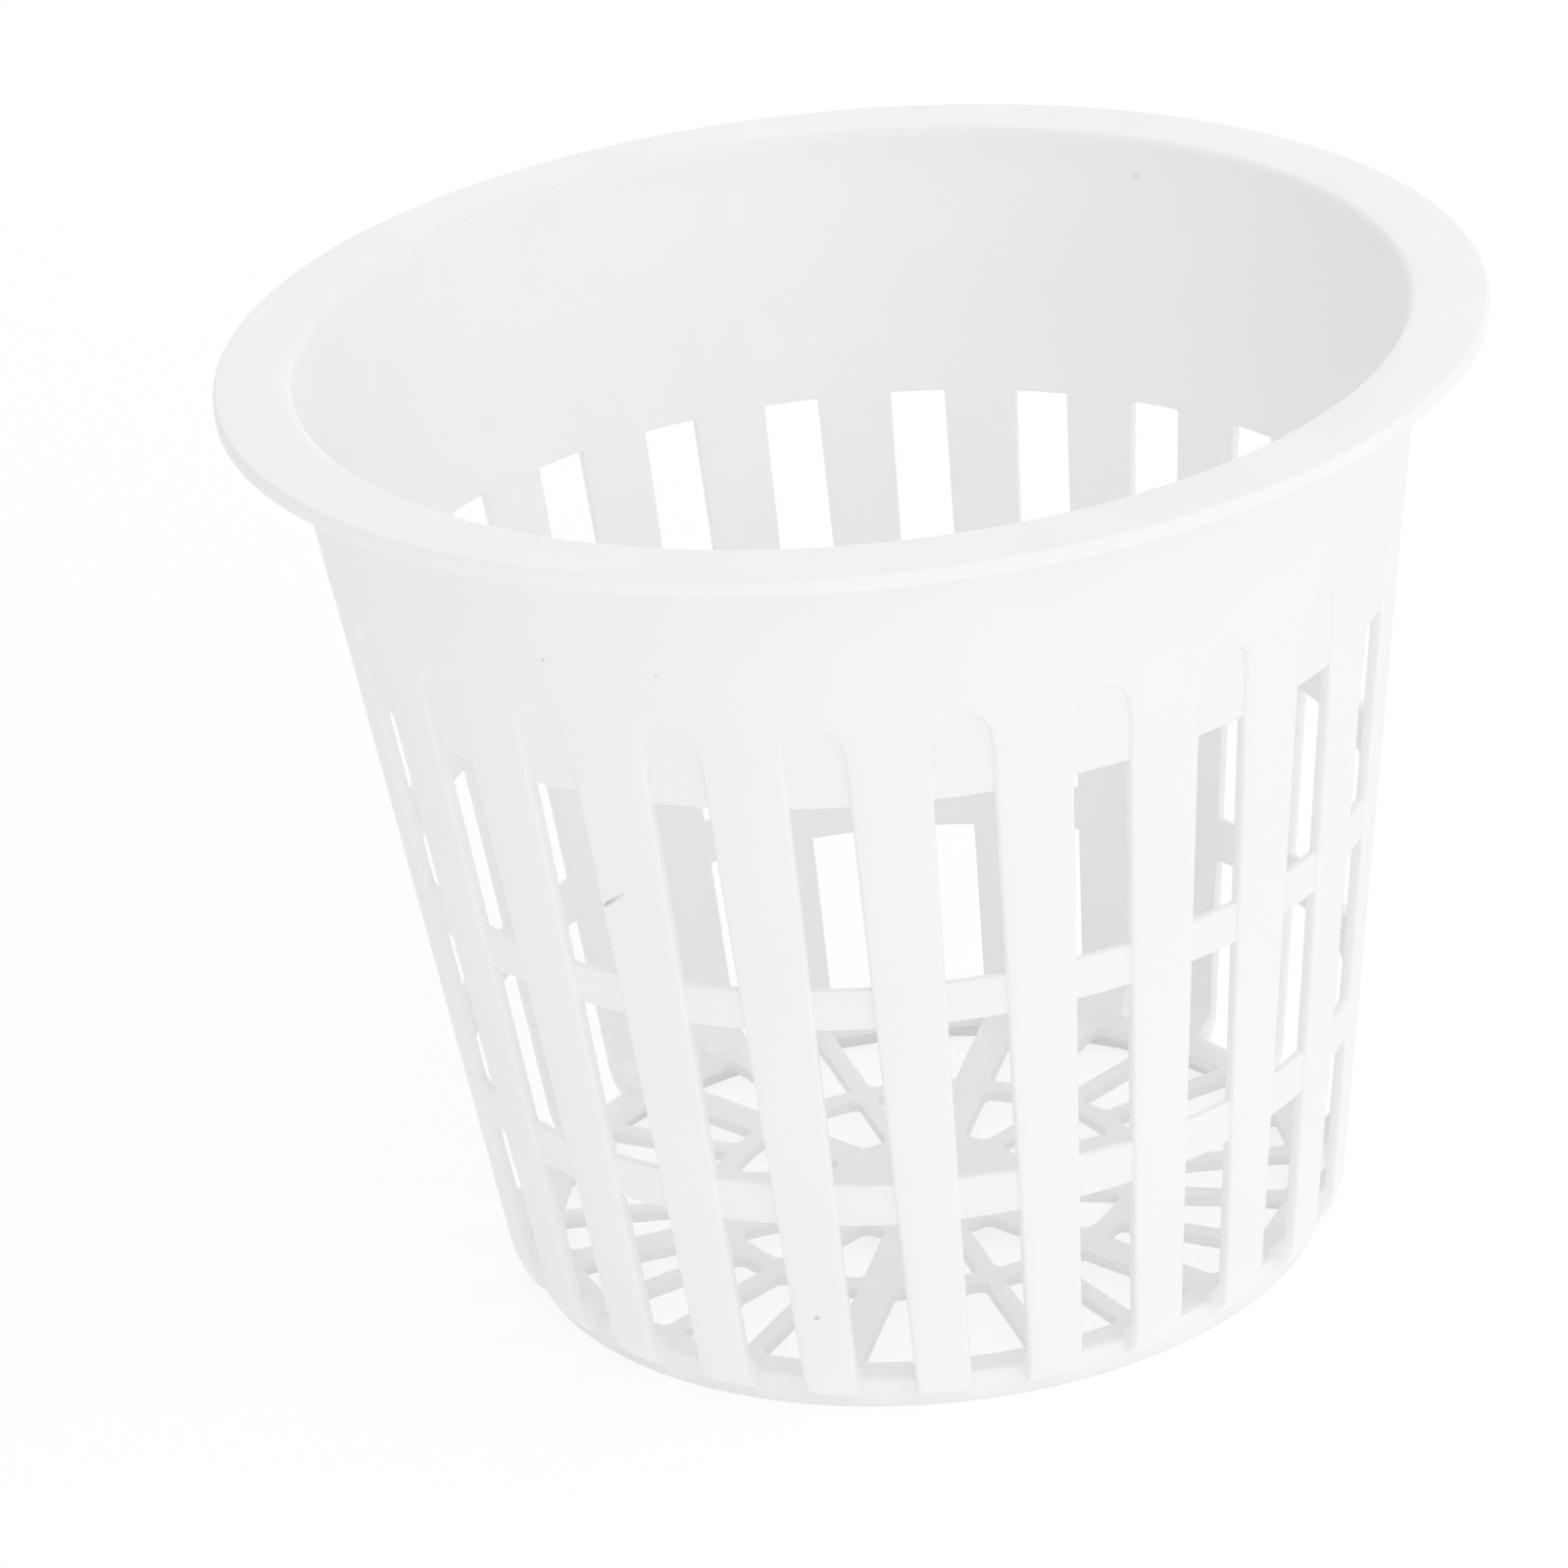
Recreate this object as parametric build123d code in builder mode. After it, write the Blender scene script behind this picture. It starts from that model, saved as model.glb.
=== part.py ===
import os
from math import atan2, cos, degrees, radians, sin

from build123d import *

# Overall sizes, millimetres
height = 74.7
rim_radius = 47.5
rim_width = 4.9
rim_thickness = 1.2
rim_edge_chamfer = 0.5

# Tapered wall: its outer face runs from this radius at the base plane up to the rim
wall_base_radius = 32.5
wall_thickness = 0.95

# Upright slots: a shallow drafted pocket with an arched head, and three openings through its floor
slot_count = 24
slot_width = 4.4
pocket_depth = 0.35
pocket_draft = 15.0
arch_crown_z = 60.2
slot_top_z = 53.4
upper_bar_z = 34.5
upper_bar_height = 3.3
lower_bar_z = 17.2
lower_bar_height = 3.5

# Lower ends of the ribs, turned in towards the foot
rib_bend_z = 4.2
rib_knee_inset = 0.7
rib_knee_z = 2.1
rib_end_z = 1.0
rib_heel_inset = 1.85
rib_heel_z = 4.4

# Foot ring and open floor
foot_radius = 31.1
foot_width = 1.4
floor_z = 1.5
floor_thickness = 1.0
border_width = 2.6
ring_radius = 16.6
ring_width = 1.8
hub_radius = 8.0
spoke_width = 1.6
main_spoke_width = 2.9

# Overlap of pieces that grow into one another, and the tools' reach past the wall
sink = 0.3
overcut = 4.0

# Values that follow from the sizes above
wall_top_radius = rim_radius - rim_width
slope = (wall_top_radius - wall_base_radius) / height
lean = degrees(atan2(wall_top_radius - wall_base_radius, height))
rise = cos(radians(lean))
rim_under_z = height - rim_thickness
floor_top_z = floor_z + floor_thickness
border_radius = foot_radius - border_width
slot_half = slot_width / 2
slot_step = 360 / slot_count


def outer_radius(z):
    return wall_base_radius + slope * z


def inner_radius(z):
    return outer_radius(z) - wall_thickness / rise


# Rim, wall and ribs turned as one shell
with BuildPart() as net_pot:
    with BuildSketch(Plane.XZ):
        with BuildLine():
            rib_end = (foot_radius - sink, rib_end_z)
            rib_knee = (outer_radius(rib_knee_z) - rib_knee_inset, rib_knee_z)
            rib_heel = (inner_radius(floor_top_z) - rib_heel_inset, floor_top_z - sink)
            Polyline((rim_radius, height - rim_edge_chamfer), (rim_radius, rim_under_z),
                     (outer_radius(rim_under_z), rim_under_z), (outer_radius(rib_bend_z), rib_bend_z),
                     rib_knee, rib_end, rib_heel, (inner_radius(rib_heel_z), rib_heel_z),
                     (inner_radius(height), height), (rim_radius - rim_edge_chamfer, height), close=True)
        make_face()
    revolve(axis=Axis.Z)

# Tool for one slot, drawn on the pocket's floor, with heights measured along the leaning wall
pocket_floor = Plane(origin=(wall_base_radius - pocket_depth / rise, 0, 0), x_dir=(0, 1, 0),
                     z_dir=(rise, 0, -sin(radians(lean))))
openings = [(-overcut, lower_bar_z),
            (lower_bar_z + lower_bar_height, upper_bar_z),
            (upper_bar_z + upper_bar_height, slot_top_z)]
with BuildPart() as slot_tool:
    with BuildSketch(pocket_floor):
        with BuildLine():
            spring_z = arch_crown_z - slot_half
            Polyline((slot_half, spring_z / rise), (slot_half, -overcut / rise),
                     (-slot_half, -overcut / rise), (-slot_half, spring_z / rise))
            ThreePointArc((-slot_half, spring_z / rise), (0, arch_crown_z / rise),
                          (slot_half, spring_z / rise))
        make_face()
    extrude(amount=pocket_depth + overcut, taper=-pocket_draft)
    for low_z, high_z in openings:
        with BuildSketch(pocket_floor):
            with Locations((0, (low_z + high_z) / 2 / rise)):
                Rectangle(slot_width, (high_z - low_z) / rise)
        extrude(amount=-wall_thickness - overcut)

with net_pot:
    with PolarLocations(0, slot_count):
        add(slot_tool.part, mode=Mode.SUBTRACT)

# Foot ring, then the floor: border, middle ring, hub and spokes under the ribs
with net_pot:
    with BuildSketch():
        Circle(foot_radius)
        Circle(foot_radius - foot_width, mode=Mode.SUBTRACT)
    extrude(amount=floor_top_z)
    with BuildSketch(Plane.XY.offset(floor_z)):
        Circle(foot_radius - foot_width / 2)
        Circle(border_radius, mode=Mode.SUBTRACT)
        Circle(ring_radius + ring_width / 2)
        Circle(ring_radius - ring_width / 2, mode=Mode.SUBTRACT)
        Circle(hub_radius)
        long_spoke = border_radius + sink - hub_radius / 2
        short_spoke = border_radius + sink - ring_radius
        with PolarLocations((border_radius + sink + hub_radius / 2) / 2, slot_count // 4, slot_step / 2):
            Rectangle(long_spoke, main_spoke_width)
        with PolarLocations((border_radius + sink + hub_radius / 2) / 2, slot_count // 4, slot_step * 2.5):
            Rectangle(long_spoke, spoke_width)
        with PolarLocations((border_radius + sink + ring_radius) / 2, slot_count // 2, slot_step * 1.5):
            Rectangle(short_spoke, spoke_width)
    extrude(amount=floor_thickness)

net_pot.part.label = "net_pot"
os.makedirs("parts", exist_ok=True)
export_step(net_pot.part, "parts/net_pot.step")
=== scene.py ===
from math import atan2, cos, hypot, pi, radians, sin, sqrt

import bmesh
import bpy
from mathutils import Matrix, Vector


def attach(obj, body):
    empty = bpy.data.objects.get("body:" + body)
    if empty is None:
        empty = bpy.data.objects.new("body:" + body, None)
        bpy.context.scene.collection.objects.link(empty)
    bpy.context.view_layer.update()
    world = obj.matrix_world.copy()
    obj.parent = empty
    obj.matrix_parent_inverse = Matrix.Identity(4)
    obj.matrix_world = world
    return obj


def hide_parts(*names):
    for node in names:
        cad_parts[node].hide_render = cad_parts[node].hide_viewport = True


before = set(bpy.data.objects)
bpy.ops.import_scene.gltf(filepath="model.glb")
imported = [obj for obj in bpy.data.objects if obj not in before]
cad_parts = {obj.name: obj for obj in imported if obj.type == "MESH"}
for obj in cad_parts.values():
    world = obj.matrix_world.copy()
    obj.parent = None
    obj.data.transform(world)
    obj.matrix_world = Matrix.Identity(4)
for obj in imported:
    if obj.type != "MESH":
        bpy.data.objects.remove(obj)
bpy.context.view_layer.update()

scene = bpy.context.scene
scene.view_settings.view_transform = "Standard"
mm = 0.001


def srgb(code):  # hex colour as seen on screen, to linear light
    parts = [int(code[k:k + 2], 16) / 255 for k in (1, 3, 5)]
    return [p / 12.92 if p <= 0.04045 else ((p + 0.055) / 1.055) ** 2.4 for p in parts] + [1]


def addNode(tree, kind, links=None, inputs=None, **settings):  # one node, its settings, values and links
    node = tree.nodes.new(kind)
    for name, value in settings.items():
        setattr(node, name, value)
    for name, value in (inputs or {}).items():
        node.inputs[name].default_value = value
    for name, source in (links or {}).items():
        tree.links.new(source, node.inputs[name])
    return node


# the pot itself: sizes in mm, the same as the solid's
pot = {
    "height": 74.7,
    "rimRadius": 47.5,
    "rimThick": 1.2,
    "wallBase": 32.5,          # outer face at z 0
    "wallTop": 42.6,           # outer face at the rim's top
    "wallThick": 0.95,
    "slots": 24,
    "slotWidth": 4.4,
    "pocketDepth": 0.35,
    "pocketFlare": 0.094,      # the pocket opens this much each side
    "archCrown": 60.2,
    "windowTop": 53.4,
    "bars": [(17.2, 20.7), (34.5, 37.8)],
    "bandRow": 63.5,           # plain ring of points above the arches
    "ribBend": 4.2,
    "ribBendPull": (32.72, 1.75),
    "bendSteps": 5,            # rows in the rounded lower end of a rib
    "footRadius": 31.1,
    "footWidth": 1.4,
    "ribFoot": 1.0,            # height where a rib runs into the foot
    "heelRadius": 30.0,
    "floorLow": 1.5,
    "floorTop": 2.5,
    "archSteps": 12,
    "ribSteps": 2,
}
softEdge = {                   # radius of each moulded edge, mm
    "ribOuter": 0.26,
    "windowInner": 0.09,
    "bar": 0.09,
    "rimTop": 0.35,
    "rimUnder": 0.08,
    "lip": 0.5,
    "footLow": 0.3,
    "footTop": 0.25,
}
edgeFinish = {
    "steps": 4,                # facets across one rounded edge
    "crease": 38.0,            # degrees; a sharper turn shades as a crease
}
floorPattern = {
    "border": 28.5,
    "ring": (15.7, 17.5),
    "hub": 8.0,
    "mainSpoke": 2.9,
    "spoke": 1.6,
    "mainEvery": 4,            # every fourth spoke is a wide one
    "longEvery": 2,            # every second spoke runs on to the hub
    "corner": 0.55,
    "cornerSteps": 4,
    "runStep": 0.06,           # radians between the points along a ring
    "edge": 0.22,
    "edgeSteps": 3,
}

slope = (pot["wallTop"] - pot["wallBase"]) / pot["height"]
leanCos = 1 / sqrt(1 + slope * slope)
leanSin = slope * leanCos
slotStep = 2 * pi / pot["slots"]
slotHalf = pot["slotWidth"] / 2
archSpring = pot["archCrown"] - slotHalf


def wallRadius(z):
    return pot["wallBase"] + slope * z


# columns of one slot's sector: rib half, slot, rib half; the last one is the next sector's first
slotCols = range(pot["ribSteps"], pot["ribSteps"] + pot["archSteps"])
perSlot = 2 * pot["ribSteps"] + pot["archSteps"]
allCols = perSlot * pot["slots"]


def columnAngle(col, radius, flare):
    sector, k = divmod(col, perSlot)
    edge = (slotHalf + flare) / radius
    n, m = pot["ribSteps"], pot["archSteps"]
    if k < n:
        local = -slotStep / 2 + (slotStep / 2 - edge) * k / n
    elif k <= n + m:
        local = -edge * cos(pi * (k - n) / m)
    else:
        local = edge + (slotStep / 2 - edge) * (k - n - m) / n
    return sector * slotStep + local


def archLift(col):  # share of the arch's radius above its spring line
    k = col % perSlot - pot["ribSteps"]
    return sin(pi * k / pot["archSteps"]) if 0 <= k <= pot["archSteps"] else 0


# rows run from foot to rim, and each has points in up to four layers
rimEdge, outerFace, pocketFloor, innerFace = range(4)
layerDepth = [0, 0, pot["pocketDepth"], pot["wallThick"]]
bendSteps = pot["bendSteps"]
rowHeights = [z for bar in pot["bars"] for z in bar] + [pot["windowTop"]]
firstBar = bendSteps + 1
windowRow = bendSteps + len(rowHeights)
archRow, bandRow, underRow, topRow = (windowRow + k for k in (1, 2, 3, 4))
barRows = [firstBar, firstBar + 2]


def wallPoint(z, layer):
    d = layerDepth[layer]
    return wallRadius(z) - d * leanCos, z + d * leanSin


def rowPoint(row, layer, col):
    if row == 0:               # where ribs grow out of the foot
        return [None, (pot["footRadius"], pot["ribFoot"]), (pot["footRadius"], pot["floorTop"]),
                (pot["heelRadius"], pot["floorTop"])][layer]
    if row <= bendSteps:       # rounded lower end of a rib
        t = row / bendSteps
        bx, bz = wallPoint(pot["ribBend"], layer)
        fx, fz = rowPoint(0, layer, col)
        if layer == outerFace:
            cx, cz = pot["ribBendPull"]
            return ((1 - t) ** 2 * fx + 2 * t * (1 - t) * cx + t * t * bx,
                    (1 - t) ** 2 * fz + 2 * t * (1 - t) * cz + t * t * bz)
        return fx + (bx - fx) * t, fz + (bz - fz) * t
    if row <= windowRow:
        return wallPoint(rowHeights[row - firstBar], layer)
    if row == archRow:
        flare = pot["pocketFlare"] if layer == outerFace else 0
        return wallPoint(archSpring + archLift(col) * (slotHalf + flare) * leanCos, layer)
    if row == bandRow:
        return wallPoint(pot["bandRow"], layer)
    z = pot["height"] - (pot["rimThick"] if row == underRow else 0)
    if layer == rimEdge:
        return pot["rimRadius"], z
    return wallRadius(z) - layerDepth[layer] / leanCos, z


bm = bmesh.new()
points = {}


def addVert(radius, z, angle):
    return bm.verts.new((radius * cos(angle) * mm, radius * sin(angle) * mm, z * mm))


def wallVert(col, row, layer):
    key = (col % allCols, row, layer)
    if key not in points:
        r, z = rowPoint(row, layer, key[0])
        flare = pot["pocketFlare"] if layer == outerFace and row <= archRow else 0
        base = wallRadius(pot["floorTop"]) if row == 0 else wallRadius(z) if row <= bendSteps else r
        points[key] = addVert(r, z, columnAngle(key[0], base, flare))
    return points[key]


def footVert(col, name):
    key = (col % allCols, name)
    if key not in points:
        r, z = {"outLow": (pot["footRadius"], 0), "inLow": (pot["footRadius"] - pot["footWidth"], 0),
                "inTop": (pot["footRadius"] - pot["footWidth"], pot["floorLow"])}[name]
        points[key] = addVert(r, z, columnAngle(key[0], wallRadius(pot["floorTop"]), 0))
    return points[key]


# whether the wall is solid between this row and the next, and between layer gap and the next
def solid(col, row, gap):
    if row < 0 or row >= topRow or gap < rimEdge or gap >= innerFace:
        return False
    if gap == rimEdge:
        return row == underRow
    inSlot = col % perSlot in slotCols
    if row >= archRow or not inSlot:
        return True
    return gap == pocketFloor and (row in barRows or row == windowRow)


for col in range(allCols):
    for row in range(topRow):
        for gap in range(innerFace):
            if not solid(col, row, gap):
                continue
            if not solid(col, row, gap - 1):
                bm.faces.new([wallVert(col, row, gap), wallVert(col + 1, row, gap),
                              wallVert(col + 1, row + 1, gap), wallVert(col, row + 1, gap)])
            if not solid(col, row, gap + 1):
                bm.faces.new([wallVert(col, row, gap + 1), wallVert(col, row + 1, gap + 1),
                              wallVert(col + 1, row + 1, gap + 1), wallVert(col + 1, row, gap + 1)])
            if not solid((col - 1) % allCols, row, gap):
                bm.faces.new([wallVert(col, row, gap), wallVert(col, row + 1, gap),
                              wallVert(col, row + 1, gap + 1), wallVert(col, row, gap + 1)])
            if not solid((col + 1) % allCols, row, gap):
                bm.faces.new([wallVert(col + 1, row, gap), wallVert(col + 1, row, gap + 1),
                              wallVert(col + 1, row + 1, gap + 1), wallVert(col + 1, row + 1, gap)])
            if not solid(col, row + 1, gap):
                bm.faces.new([wallVert(col, row + 1, gap), wallVert(col + 1, row + 1, gap),
                              wallVert(col + 1, row + 1, gap + 1), wallVert(col, row + 1, gap + 1)])
            if row > 0 and not solid(col, row - 1, gap):
                bm.faces.new([wallVert(col, row, gap), wallVert(col, row, gap + 1),
                              wallVert(col + 1, row, gap + 1), wallVert(col + 1, row, gap)])
    if col % perSlot in slotCols:   # foot shows between the ribs
        for gap in (outerFace, pocketFloor):
            bm.faces.new([wallVert(col, 0, gap), wallVert(col + 1, 0, gap),
                          wallVert(col + 1, 0, gap + 1), wallVert(col, 0, gap + 1)])
    here, after = ([wallVert(c, 0, outerFace)] + [footVert(c, name) for name in ("outLow", "inLow", "inTop")]
                   for c in (col, col + 1))
    for k in range(len(here) - 1):
        bm.faces.new([here[k], here[k + 1], after[k + 1], after[k]])
print("wall, ribs, bars and rim:", len(bm.faces), "faces")


# floor: spokes lie under the ribs, so the gaps lie under the slots
def spokeWidth(rib):
    return floorPattern["mainSpoke"] if rib % floorPattern["mainEvery"] == 0 else floorPattern["spoke"]


def floorGaps():
    hub, (ringIn, ringOut), border = floorPattern["hub"], floorPattern["ring"], floorPattern["border"]
    for rib in range(pot["slots"]):
        yield rib, rib + 1, ringOut, border
        if rib % floorPattern["longEvery"] == 0:
            yield rib, rib + floorPattern["longEvery"], hub, ringIn


def gapOutline(gap, inset):    # rounded outline of one floor gap, moved inwards by inset
    first, last, rLow, rHigh = gap
    corner, cornerSteps = floorPattern["corner"], floorPattern["cornerSteps"]
    a1, a2 = ((rib + 0.5) * slotStep for rib in (first, last))
    w1, w2 = spokeWidth(first) / 2, spokeWidth(last) / 2

    def spokePoint(angle, along, aside):
        return along * cos(angle) - aside * sin(angle), along * sin(angle) + aside * cos(angle)

    corners = []
    for angle, width, side, radius, sign in ((a1, w1, 1, rLow, 1), (a2, w2, -1, rLow, 1),
                                             (a2, w2, -1, rHigh, -1), (a1, w1, 1, rHigh, -1)):
        aside = width + corner
        reach = radius + sign * corner
        cx, cy = spokePoint(angle, sqrt(reach ** 2 - aside ** 2), side * aside)
        toSpoke = angle - side * pi / 2
        toArc = atan2(cy, cx) + (pi if sign > 0 else 0)
        turn = (toArc - toSpoke + pi) % (2 * pi) - pi
        arc = [toSpoke + turn * k / cornerSteps for k in range(cornerSteps + 1)]
        corners.append([(cx + (corner - inset) * cos(t), cy + (corner - inset) * sin(t)) for t in arc])
    outline = corners[0] + roundRun(corners[0][-1], corners[1][-1]) + corners[1][::-1]
    outline += corners[2] + roundRun(corners[2][-1], corners[3][-1]) + corners[3][::-1]
    return outline


def roundRun(a, b):            # points between two places on one circle about the axis
    t1, t2 = atan2(a[1], a[0]), atan2(b[1], b[0])
    turn = (t2 - t1 + pi) % (2 * pi) - pi
    count = max(2, round(abs(turn) / floorPattern["runStep"]))
    r = hypot(*a)
    return [(r * cos(t1 + turn * k / count), r * sin(t1 + turn * k / count)) for k in range(1, count)]


def link(loop):
    return [bm.edges.get((a, b)) or bm.edges.new((a, b)) for a, b in zip(loop, loop[1:] + loop[:1])]


edge, steps = floorPattern["edge"], floorPattern["edgeSteps"]
quarter = [pi / 2 * k / steps for k in range(steps + 1)]
profile = [(edge * (sin(t) - 1), edge * (1 - cos(t))) for t in quarter]
topEdges = link([wallVert(c, 0, innerFace) for c in range(allCols)])
lowEdges = link([footVert(c, "inTop") for c in range(allCols)])
gapFaces = 0
for gap in floorGaps():
    levels = [(inset, pot["floorTop"] - down) for inset, down in profile]
    levels += [(inset, pot["floorLow"] + down) for inset, down in profile[::-1]]
    loops = [[bm.verts.new((x * mm, y * mm, z * mm)) for x, y in gapOutline(gap, inset)]
             for inset, z in levels]
    for upper, lower in zip(loops, loops[1:]):
        for k in range(len(upper)):
            j = (k + 1) % len(upper)
            bm.faces.new([upper[k], upper[j], lower[j], lower[k]])
            gapFaces += 1
    topEdges += link(loops[0])
    lowEdges += link(loops[-1])
for edges, up in ((topEdges, 1), (lowEdges, -1)):
    bmesh.ops.triangle_fill(bm, use_beauty=True, edges=edges, normal=(0, 0, up))
bmesh.ops.recalc_face_normals(bm, faces=bm.faces)
print("floor gaps:", gapFaces, "wall faces; open edges:", sum(not e.is_manifold for e in bm.edges))

# softened edges: each kind has its own radius, given as a share of the largest
weight = bm.edges.layers.float.new("bevel_weight_edge")
widest = max(softEdge.values())


def soften(a, b, kind):
    found = bm.edges.get((a, b))
    if found:
        found[weight] = softEdge[kind] / widest


for col in range(allCols):
    k = col % perSlot
    if k in (slotCols[0], slotCols[-1] + 1):
        for row in range(archRow):
            soften(wallVert(col, row, outerFace), wallVert(col, row + 1, outerFace), "ribOuter")
            if row not in barRows and row < windowRow:
                soften(wallVert(col, row, innerFace), wallVert(col, row + 1, innerFace), "windowInner")
    if k in slotCols:
        soften(wallVert(col, archRow, outerFace), wallVert(col + 1, archRow, outerFace), "ribOuter")
        soften(wallVert(col, 0, pocketFloor), wallVert(col + 1, 0, pocketFloor), "footTop")
        for row in range(firstBar, windowRow + 1):
            kind = "windowInner" if row == windowRow else "bar"
            for layer in (pocketFloor, innerFace):
                soften(wallVert(col, row, layer), wallVert(col + 1, row, layer), kind)
    soften(wallVert(col, topRow, rimEdge), wallVert(col + 1, topRow, rimEdge), "rimTop")
    soften(wallVert(col, underRow, rimEdge), wallVert(col + 1, underRow, rimEdge), "rimUnder")
    soften(wallVert(col, topRow, innerFace), wallVert(col + 1, topRow, innerFace), "lip")
    for name in ("outLow", "inLow"):
        soften(footVert(col, name), footVert(col + 1, name), "footLow")

cage = bpy.data.meshes.new("pot_cage")
bm.to_mesh(cage)
bm.free()
potPiece = bpy.data.objects.new("net_pot_moulding", cage)
scene.collection.objects.link(potPiece)
bevel = potPiece.modifiers.new("soft edges", "BEVEL")
bevel.width = widest * mm
bevel.segments = edgeFinish["steps"]
bevel.limit_method = "WEIGHT"
bevel.use_clamp_overlap = False
moulded = bpy.data.meshes.new_from_object(potPiece.evaluated_get(bpy.context.evaluated_depsgraph_get()))
potPiece.modifiers.clear()
potPiece.data = moulded

bm = bmesh.new()
bm.from_mesh(moulded)
for face in bm.faces:
    face.smooth = True
for e in bm.edges:
    e.smooth = e.is_manifold and e.calc_face_angle(pi) < radians(edgeFinish["crease"])
print("pot:", len(bm.faces), "faces,", sum(len(f.verts) - 2 for f in bm.faces), "triangles,",
      sum(not e.is_manifold for e in bm.edges), "open edges")
bm.to_mesh(moulded)
bm.free()
evenShade = potPiece.modifiers.new("even shading", "WEIGHTED_NORMAL")
evenShade.keep_sharp = True
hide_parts("net_pot")
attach(potPiece, "root")


# polypropylene, injection moulded: milky white and satin, with light going a little way in
# faint flow clouding, patches of polish and the mould's grain keep it from looking flat
plastic = {
    "colour": "#fafafa",
    "clouded": "#f4f4f4",      # where the melt cooled more slowly
    "cloudSize": 16.0,         # mm
    "cloudDetail": 1,
    "polish": (0.54, 0.64),    # roughness between better and less well polished patches of the mould
    "polishSize": 6.0,         # mm
    "polishDetail": 1,
    "polishSpan": (0.3, 0.7),  # most of the noise lies between these
    "grainSize": 0.5,          # mm; the real grain, near 0.05 mm, is too fine for the render
    "grainHeight": 0.003,      # mm
    "ior": 1.49,
    "throughLight": 0.35,      # share of the light that goes through the skin
    "depth": 2.0,              # mm that light spreads inside
}
dirt = {                       # grey marks, places in mm: a smear and specks of handling, and one darker round spot low on a rib
    "colour": "#6c6b6e",
    "smearFrom": (37.75, -7.4, 44.15),
    "smearTo": (38.22, -5.65, 45.45),
    "smearHalf": 0.26,
    "smearDark": 0.75,
    "smearEnd": 0.2,           # share of the darkness left at the smear's far end
    "specks": [                # place, radius, darkness
        ((40.24, -9.01, 64.59), 0.12, 0.6),
        ((41.21, 0.05, 64.43), 0.12, 0.5),
        ((2.59, 38.4, 44.32), 0.12, 0.5),
        # a darker round spot low on a rib's outer face
        ((33.46, 4.17, 9.07), 0.3, 0.35),
        ((-40.29, 8.82, 71.74), 0.45, 0.12),
    ],
    "speckCore": 3,            # a speck is fully dark over its radius divided by this
    "breakSize": 0.35,         # mm, patches that rubbed off
    "breakSpan": (0.3, 0.6),
    "breakLeast": 0.5,         # share of a mark that is left where it rubbed off
}


def scaled(place):
    return [c * mm for c in place]


def smearMask(tree, spot):     # darkest at its start, fading along its length
    start, end = Vector(scaled(dirt["smearFrom"])), Vector(scaled(dirt["smearTo"]))
    run = end - start
    rel = addNode(tree, "ShaderNodeVectorMath", operation="SUBTRACT", links={0: spot}, inputs={1: start})
    along = addNode(tree, "ShaderNodeVectorMath", operation="DOT_PRODUCT", links={0: rel.outputs[0]},
                    inputs={1: run / run.length_squared})
    share = addNode(tree, "ShaderNodeClamp", links={"Value": along.outputs["Value"]})
    nearest = addNode(tree, "ShaderNodeVectorMath", operation="SCALE", links={"Scale": share.outputs[0]},
                      inputs={0: run})
    away = addNode(tree, "ShaderNodeVectorMath", operation="DISTANCE",
                   links={0: rel.outputs[0], 1: nearest.outputs[0]})
    fade = addNode(tree, "ShaderNodeMapRange", links={"Value": share.outputs[0]},
                   inputs={"To Min": dirt["smearDark"], "To Max": dirt["smearDark"] * dirt["smearEnd"]})
    return addNode(tree, "ShaderNodeMapRange", interpolation_type="SMOOTHSTEP",
                   links={"Value": away.outputs["Value"], "To Min": fade.outputs[0]},
                   inputs={"From Min": 0, "From Max": dirt["smearHalf"] * mm, "To Max": 0})


def speckMask(tree, spot, centre, radius, dark):
    away = addNode(tree, "ShaderNodeVectorMath", operation="DISTANCE", links={0: spot},
                   inputs={1: scaled(centre)})
    return addNode(tree, "ShaderNodeMapRange", interpolation_type="SMOOTHSTEP",
                   links={"Value": away.outputs["Value"]},
                   inputs={"From Min": radius * mm / dirt["speckCore"], "From Max": radius * mm,
                           "To Min": dark, "To Max": 0})


def patches(tree, spot, size, detail=0):  # soft noise with patches of this size in mm
    return addNode(tree, "ShaderNodeTexNoise", links={"Vector": spot},
                   inputs={"Scale": 1 / (size * mm), "Detail": detail}).outputs["Fac"]


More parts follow.
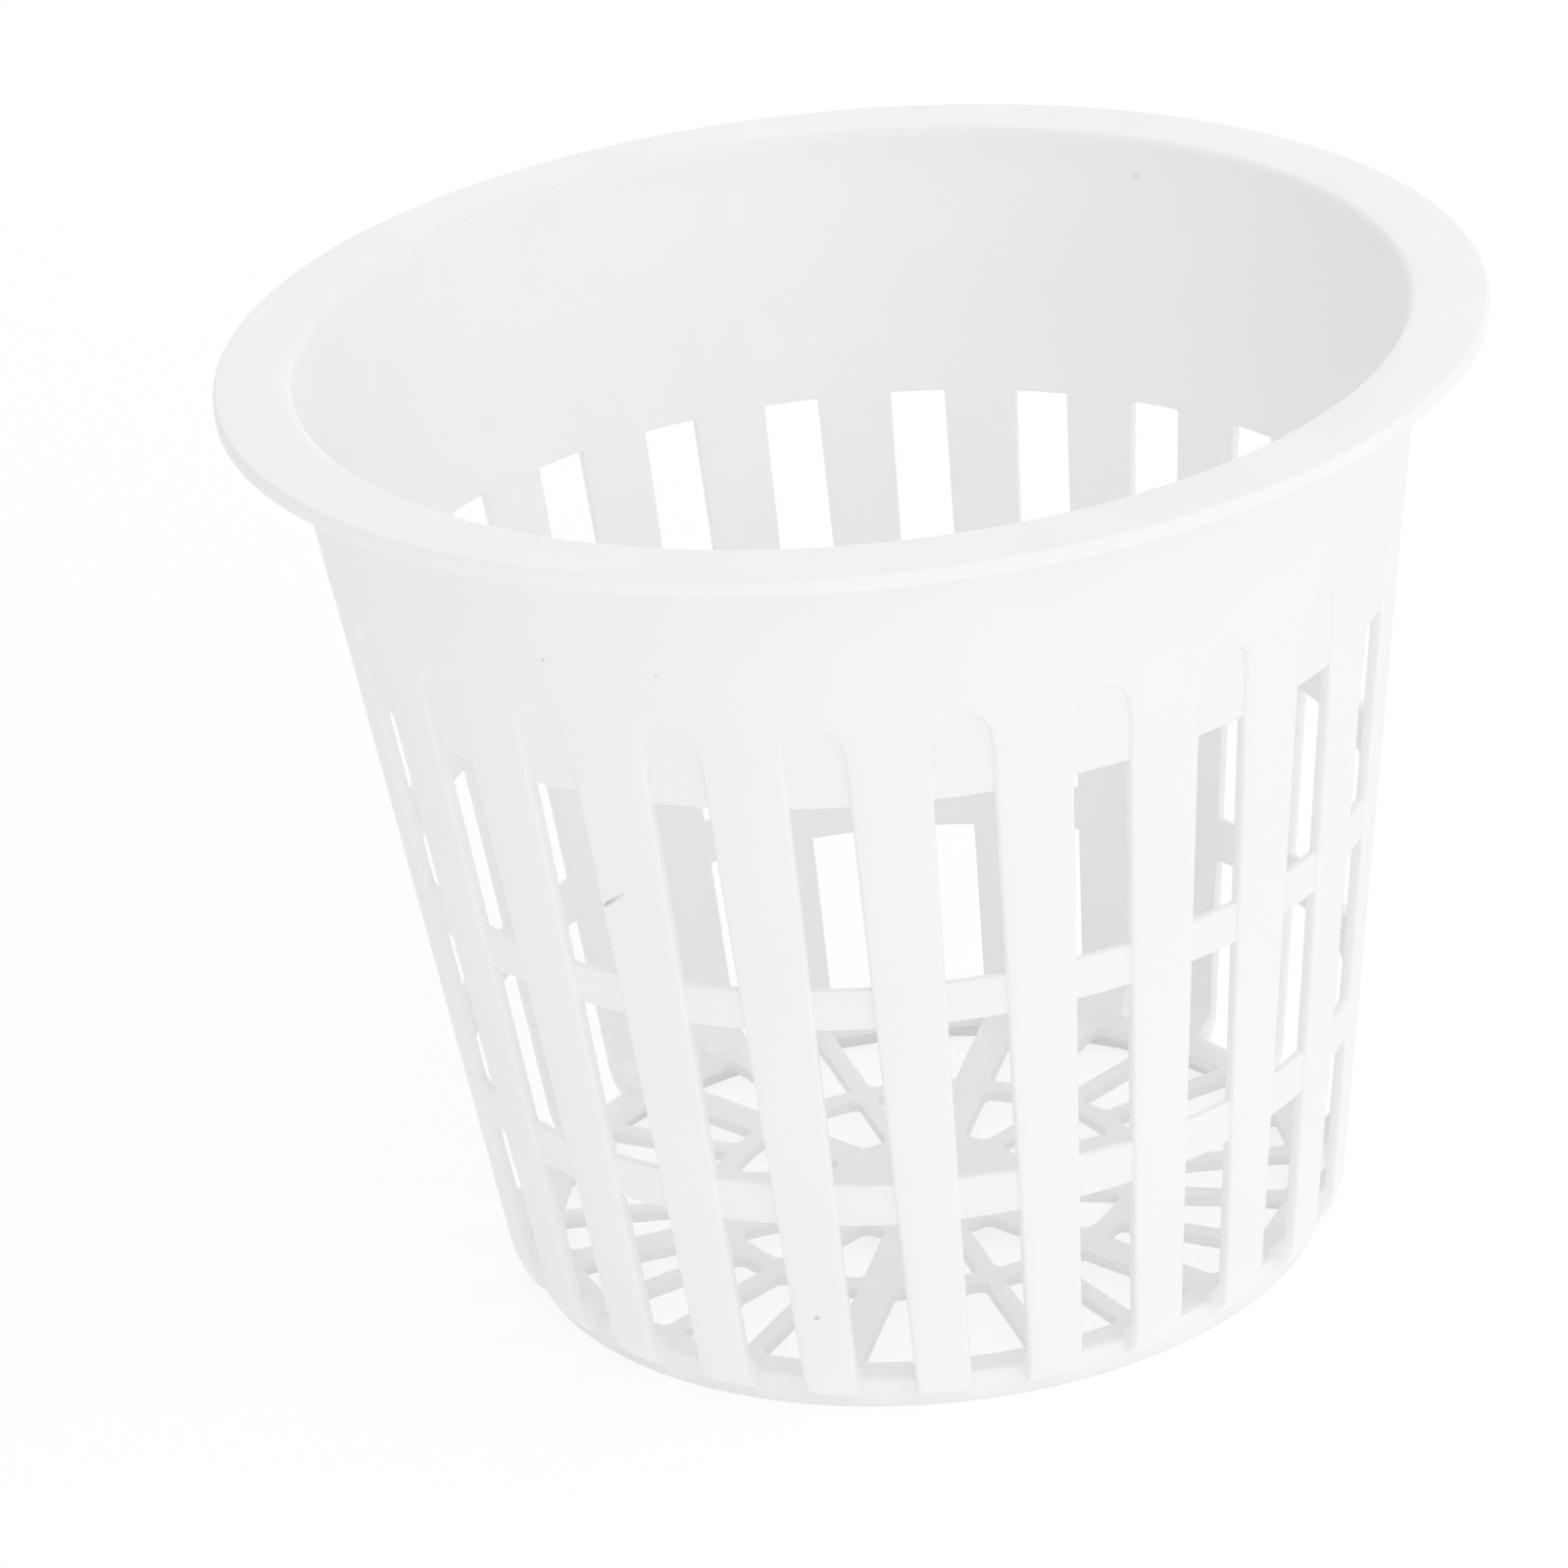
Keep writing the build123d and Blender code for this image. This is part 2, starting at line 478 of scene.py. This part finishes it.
def mouldedPolypropylene():
    mat = bpy.data.materials.new("polypropylene_injection_moulded_white")
    mat.use_nodes = True
    tree = mat.node_tree
    tree.nodes.clear()
    spot = addNode(tree, "ShaderNodeTexCoord").outputs["Object"]
    flow = patches(tree, spot, plastic["cloudSize"], plastic["cloudDetail"])
    cloud = addNode(tree, "ShaderNodeMixRGB", links={"Fac": flow},
                    inputs={"Color1": srgb(plastic["colour"]), "Color2": srgb(plastic["clouded"])})
    mask = smearMask(tree, spot)
    for centre, radius, dark in dirt["specks"]:
        speck = speckMask(tree, spot, centre, radius, dark)
        mask = addNode(tree, "ShaderNodeMath", operation="MAXIMUM",
                       links={0: mask.outputs[0], 1: speck.outputs[0]})
    low, high = dirt["breakSpan"]
    worn = addNode(tree, "ShaderNodeMapRange", links={"Value": patches(tree, spot, dirt["breakSize"])},
                   inputs={"From Min": low, "From Max": high, "To Min": dirt["breakLeast"]})
    mask = addNode(tree, "ShaderNodeMath", operation="MULTIPLY",
                   links={0: mask.outputs[0], 1: worn.outputs[0]})
    colour = addNode(tree, "ShaderNodeMixRGB", links={"Fac": mask.outputs[0], "Color1": cloud.outputs[0]},
                     inputs={"Color2": srgb(dirt["colour"])})
    (low, high), (smooth, rough) = plastic["polishSpan"], plastic["polish"]
    shine = patches(tree, spot, plastic["polishSize"], plastic["polishDetail"])
    polish = addNode(tree, "ShaderNodeMapRange", links={"Value": shine},
                     inputs={"From Min": low, "From Max": high, "To Min": smooth, "To Max": rough})
    grain = addNode(tree, "ShaderNodeBump", links={"Height": patches(tree, spot, plastic["grainSize"])},
                    inputs={"Distance": plastic["grainHeight"] * mm})
    shader = addNode(tree, "ShaderNodeBsdfPrincipled",
                     links={"Base Color": colour.outputs[0], "Roughness": polish.outputs[0],
                            "Normal": grain.outputs[0]},
                     inputs={"IOR": plastic["ior"], "Subsurface Weight": plastic["throughLight"],
                             "Subsurface Radius": (1, 1, 1), "Subsurface Scale": plastic["depth"] * mm})
    addNode(tree, "ShaderNodeOutputMaterial", links={"Surface": shader.outputs[0]})
    return mat


potPiece.data.materials.clear()
potPiece.data.materials.append(mouldedPolypropylene())
print("plastic done")

# studio: pale floor, white surround and soft lamps
studio = {
    "floorSize": 3.0,
    "floorColour": "#f4f4f4",
    "floorFill": 0.2,          # light that comes up through the card, as on a light table
    "floorLift": 0.65,         # share of plain white in the card as the camera sees it
    "white": 1.0,              # strength that the camera sees as white
    "surround": 0.71,          # ambient light; the camera sees the surround as white
    "lampAim": 0.04,           # m above the floor
}


def seenDirectly(tree):        # 1 where the camera, a reflection or clear material looks at it
    ray = addNode(tree, "ShaderNodeLightPath")
    direct = addNode(tree, "ShaderNodeMath", operation="MAXIMUM",
                     links={0: ray.outputs["Is Camera Ray"], 1: ray.outputs["Is Glossy Ray"]})
    return addNode(tree, "ShaderNodeMath", operation="MAXIMUM",
                   links={0: direct.outputs[0], 1: ray.outputs["Is Transmission Ray"]}).outputs[0]


def paleFloor():
    mat = bpy.data.materials.new("studio_floor_matt_card")
    mat.use_nodes = True
    tree = mat.node_tree
    tree.nodes.clear()
    lift = addNode(tree, "ShaderNodeMath", operation="MULTIPLY", links={0: seenDirectly(tree)},
                   inputs={1: studio["floorLift"]})
    card = addNode(tree, "ShaderNodeBsdfDiffuse", inputs={"Color": srgb(studio["floorColour"])})
    fill = addNode(tree, "ShaderNodeEmission", inputs={"Strength": studio["floorFill"]})
    table = addNode(tree, "ShaderNodeAddShader", links={0: card.outputs[0], 1: fill.outputs[0]})
    glow = addNode(tree, "ShaderNodeEmission", inputs={"Strength": studio["white"]})
    both = addNode(tree, "ShaderNodeMixShader",
                   links={0: lift.outputs[0], 1: table.outputs[0], 2: glow.outputs[0]})
    side = addNode(tree, "ShaderNodeNewGeometry")
    clear = addNode(tree, "ShaderNodeBsdfTransparent")  # from below, so that the pot's underside shows
    oneSided = addNode(tree, "ShaderNodeMixShader",
                       links={0: side.outputs["Backfacing"], 1: both.outputs[0], 2: clear.outputs[0]})
    addNode(tree, "ShaderNodeOutputMaterial", links={"Surface": oneSided.outputs[0]})
    return mat


half = studio["floorSize"] / 2
floorMesh = bpy.data.meshes.new("studio_floor")
floorCorners = [(-half, -half, 0), (half, -half, 0), (half, half, 0), (-half, half, 0)]
floorMesh.from_pydata(floorCorners, [], [range(len(floorCorners))])
floorMesh.materials.append(paleFloor())
floorPiece = bpy.data.objects.new("studio_floor", floorMesh)
scene.collection.objects.link(floorPiece)

world = bpy.data.worlds.new("studio_surround")
scene.world = world
world.use_nodes = True
tree = world.node_tree
tree.nodes.clear()
level = addNode(tree, "ShaderNodeMapRange", links={"Value": seenDirectly(tree)},
                inputs={"To Min": studio["surround"], "To Max": studio["white"]})
sky = addNode(tree, "ShaderNodeBackground", links={"Strength": level.outputs[0]},
              inputs={"Color": srgb("#ffffff")})
addNode(tree, "ShaderNodeOutputWorld", links={"Surface": sky.outputs[0]})

# camera fitted to the rim, wall and slots of the photograph; lengths in rim radii
photoFit = {"lens": 172.92, "tilt": 24.676, "roll": -5.520, "turn": 113.323,
            "shiftRight": 0.101, "shiftDown": -0.7155, "away": 11.7886,
            "rimPlane": 74.5,  # mm
            "sensor": 36.0, "clipStart": 0.01}
tilt, roll = radians(photoFit["tilt"]), radians(photoFit["roll"])
levelAxes = Matrix(((1, 0, 0), (0, -sin(tilt), -cos(tilt)), (0, cos(tilt), -sin(tilt))))
rolled = Matrix(((cos(roll), -sin(roll), 0), (sin(roll), cos(roll), 0), (0, 0, 1))) @ levelAxes
eye = rolled.transposed() @ -Vector((photoFit["shiftRight"], photoFit["shiftDown"], photoFit["away"]))
eye = eye * pot["rimRadius"] * mm + Vector((0, 0, photoFit["rimPlane"] * mm))
axes = Matrix((rolled[0], -rolled[1], -rolled[2])).transposed()
turn = Matrix.Rotation(radians(photoFit["turn"]), 3, "Z")
camData = bpy.data.cameras.new("photo_camera")
camData.lens = photoFit["lens"]
camData.sensor_width = photoFit["sensor"]
camData.clip_start = photoFit["clipStart"]
camera = bpy.data.objects.new("photo_camera", camData)
camera.matrix_world = Matrix.Translation(turn @ eye) @ (turn @ axes).to_4x4()
scene.collection.objects.link(camera)
scene.camera = camera

lamps = {  # place as the camera sees it: right, towards the camera, up (m); size (m); power (W)
    "soft_front": ((0.42, 0.75, 0.85), 1.8, 3.6),
    "soft_right": ((0.9, 0.1, 0.45), 1.5, 1.0),
    "soft_back": ((0.1, -1.0, 0.12), 1.0, 2.5),
}
for name, (spot, size, power) in lamps.items():
    data = bpy.data.lights.new(name, "AREA")
    data.shape = "DISK"
    data.size = size
    data.energy = power
    lamp = bpy.data.objects.new(name, data)
    lamp.location = turn @ Vector((spot[0], -spot[1], spot[2]))
    aim = Vector((0, 0, studio["lampAim"])) - lamp.location
    lamp.rotation_euler = aim.to_track_quat("-Z", "Y").to_euler()
    scene.collection.objects.link(lamp)
print("studio and camera done")
